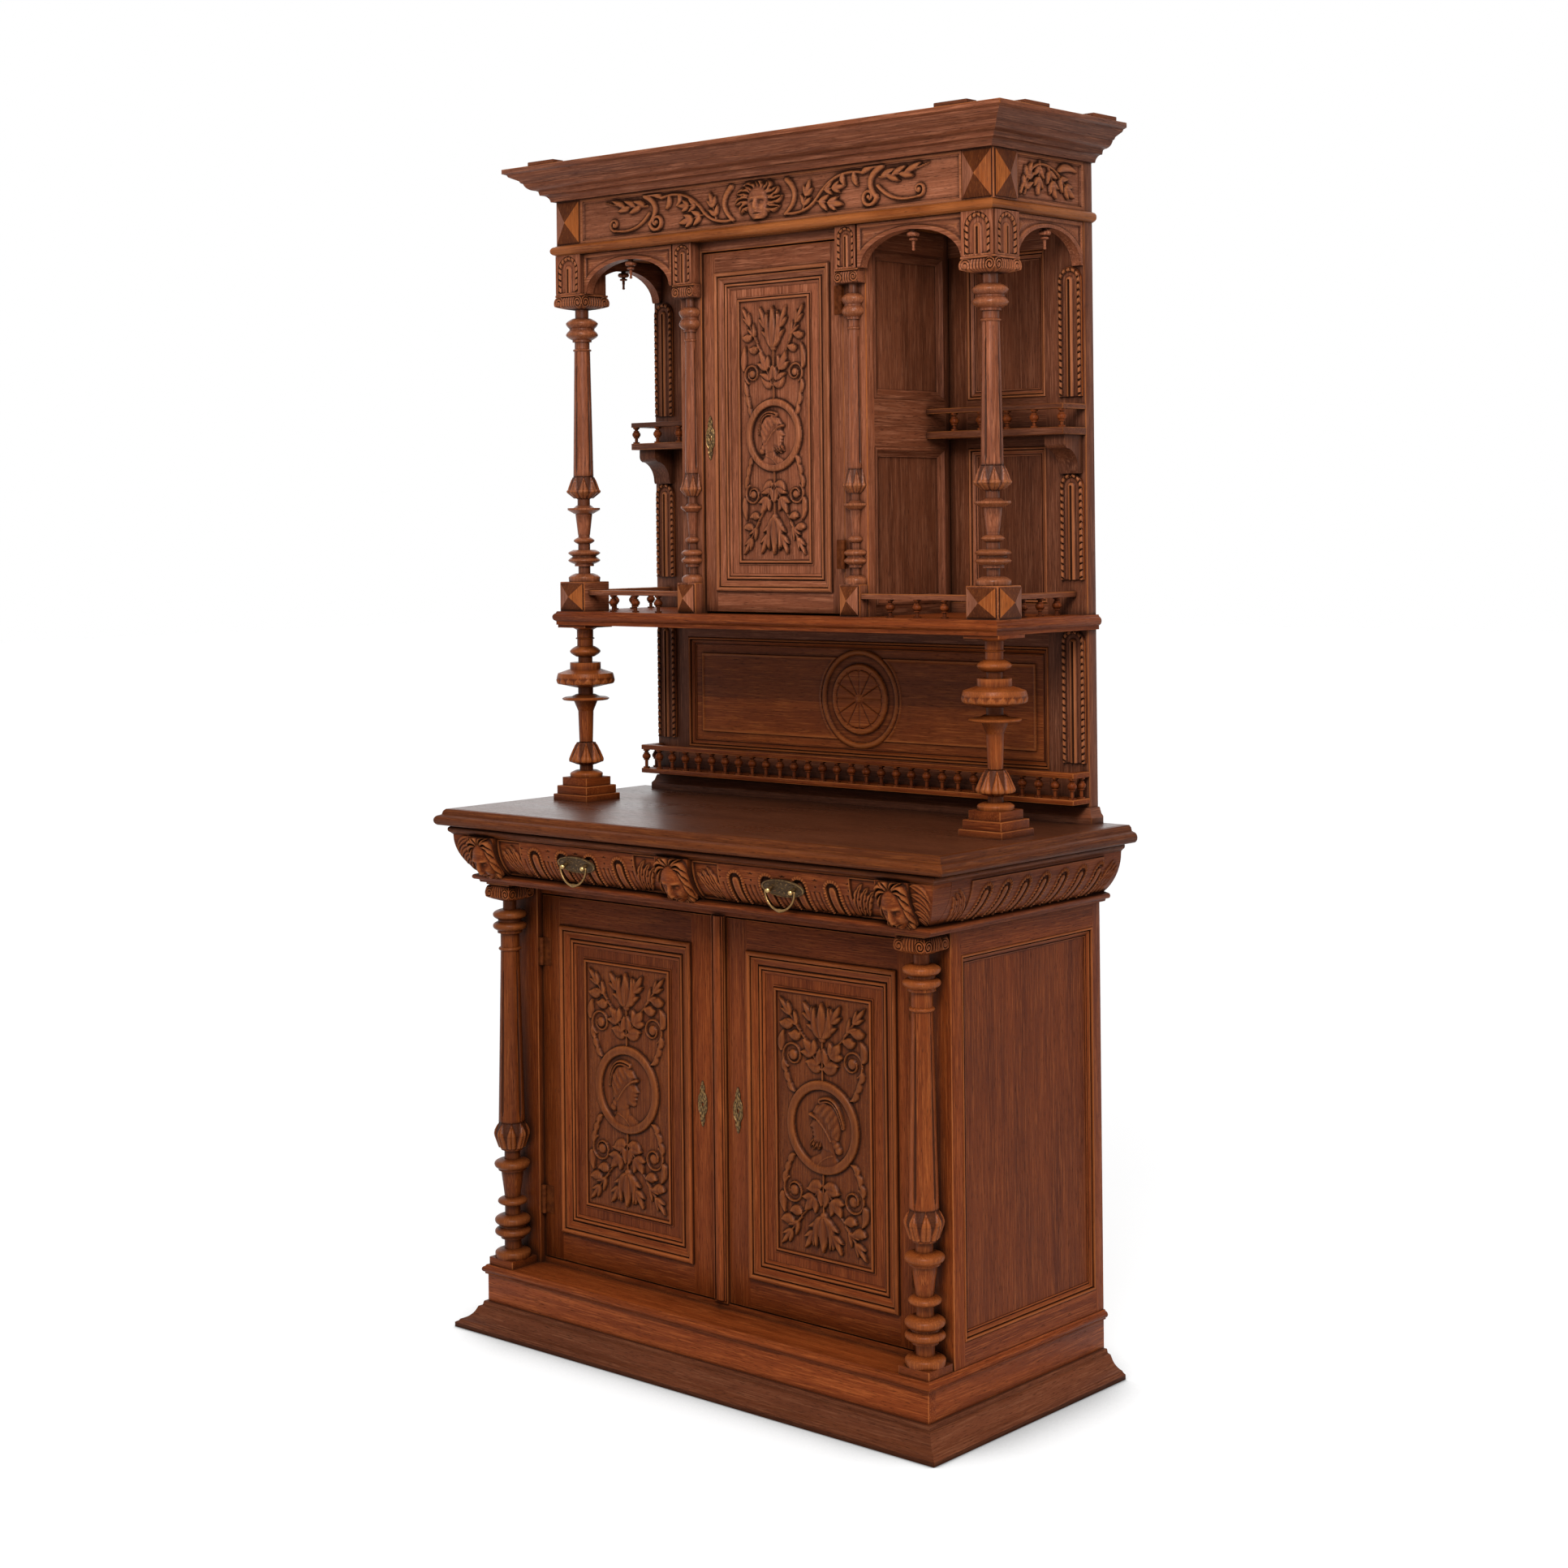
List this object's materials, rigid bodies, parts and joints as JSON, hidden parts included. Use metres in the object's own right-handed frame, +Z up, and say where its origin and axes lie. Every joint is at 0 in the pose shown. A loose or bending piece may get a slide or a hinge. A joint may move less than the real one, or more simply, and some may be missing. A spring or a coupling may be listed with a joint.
{
  "type": "serving cabinet",
  "caption": "Carved oak serving cabinet: base with panelled doors, drawers and turned columns, and a dresser with a cupboard between open niches on turned columns.",
  "frame": {"origin": "on the floor, under the middle of the overall box of the cabinet", "axes": "+X to the right as seen from the front, +Y to the back, +Z up"},
  "size_m": [1.296, 0.595, 2.358],
  "materials": {
    "oak": "waxed reddish-brown stained oak",
    "oak_inside": "plain unpolished oak of the inside and back",
    "brass": "aged brass",
    "iron": "dark iron"
  },
  "bodies": {
    "case": {"arches": "oak", "back_frame": "oak", "base_moulding": "oak", "cornice": "oak", "cupboard_front": "oak", "cupboard_shelf": "oak_inside", "cupboard_sides": "oak", "drawer_carcass": "oak_inside", "drawer_ledge": "oak", "drawer_masks": "oak", "dresser_columns": "oak", "dresser_panels": "oak", "dust_board": "oak_inside", "fixed_hinge_leaves": "brass", "frieze": "oak", "front_posts": "oak", "gallery_rails": "oak", "gallery_spindles": "oak", "half_columns": "oak", "lower_back": "oak_inside", "lower_columns": "oak", "lower_shelf": "oak_inside", "mid_shelf": "oak", "niche_shelves": "oak", "pilasters": "oak", "plate_rail": "oak", "plate_rail_spindles": "oak", "platform": "oak", "plinth_frame": "oak", "serving_panel": "oak", "side_frames": "oak", "side_friezes": "oak", "side_panels": "oak", "soffit": "oak", "vase_columns": "oak", "worktop": "oak"},
    "cupboard_bolt": {"cupboard_door_bolt": "iron"},
    "cupboard_door": {"cupboard_door_brasses": "brass", "cupboard_door_frame": "oak", "cupboard_door_lock": "iron", "cupboard_door_panel": "oak"},
    "left_bail": {"left_bail": "brass"},
    "left_bolt": {"left_door_bolt": "iron"},
    "left_door": {"left_door_brasses": "brass", "left_door_frame": "oak", "left_door_lock": "iron", "left_door_panel": "oak"},
    "left_drawer": {"left_drawer_box": "oak_inside", "left_drawer_front": "oak", "left_pull_plate": "brass"},
    "right_bail": {"right_bail": "brass"},
    "right_bolt": {"right_door_bolt": "iron"},
    "right_door": {"right_door_brasses": "brass", "right_door_frame": "oak", "right_door_lock": "iron", "right_door_panel": "oak"},
    "right_drawer": {"right_drawer_box": "oak_inside", "right_drawer_front": "oak", "right_pull_plate": "brass"}
  },
  "joints": [
    {"name": "left_door_hinge", "type": "hinge", "parent": "case", "child": "left_door", "pos_m": [-0.481, -0.1585, 0.501], "axis": [0, 0, -1], "range_deg": [0, 90]},
    {"name": "left_bolt_slide", "type": "slide", "parent": "left_door", "child": "left_bolt", "axis": [1, 0, 0], "range_m": [0, 0.009]},
    {"name": "right_door_hinge", "type": "hinge", "parent": "case", "child": "right_door", "pos_m": [0.481, -0.1585, 0.501], "axis": [0, 0, 1], "range_deg": [0, 90]},
    {"name": "right_bolt_slide", "type": "slide", "parent": "right_door", "child": "right_bolt", "axis": [-1, 0, 0], "range_m": [0, 0.009]},
    {"name": "cupboard_door_hinge", "type": "hinge", "parent": "case", "child": "cupboard_door", "pos_m": [0.18175, 0.0086, 1.801], "axis": [0, 0, 1], "range_deg": [0, 90]},
    {"name": "cupboard_bolt_slide", "type": "slide", "parent": "cupboard_door", "child": "cupboard_bolt", "axis": [-1, 0, 0], "range_m": [0, 0.009]},
    {"name": "left_drawer_slide", "type": "slide", "parent": "case", "child": "left_drawer", "axis": [0, -1, 0], "range_m": [0, 0.33]},
    {"name": "left_bail_swing", "type": "hinge", "parent": "left_drawer", "child": "left_bail", "pos_m": [-0.265, -0.27776, 0.95043], "axis": [-1, 0, 0], "range_deg": [0, 80]},
    {"name": "right_drawer_slide", "type": "slide", "parent": "case", "child": "right_drawer", "axis": [0, -1, 0], "range_m": [0, 0.33]},
    {"name": "right_bail_swing", "type": "hinge", "parent": "right_drawer", "child": "right_bail", "pos_m": [0.265, -0.27776, 0.95043], "axis": [-1, 0, 0], "range_deg": [0, 80]}
  ]
}
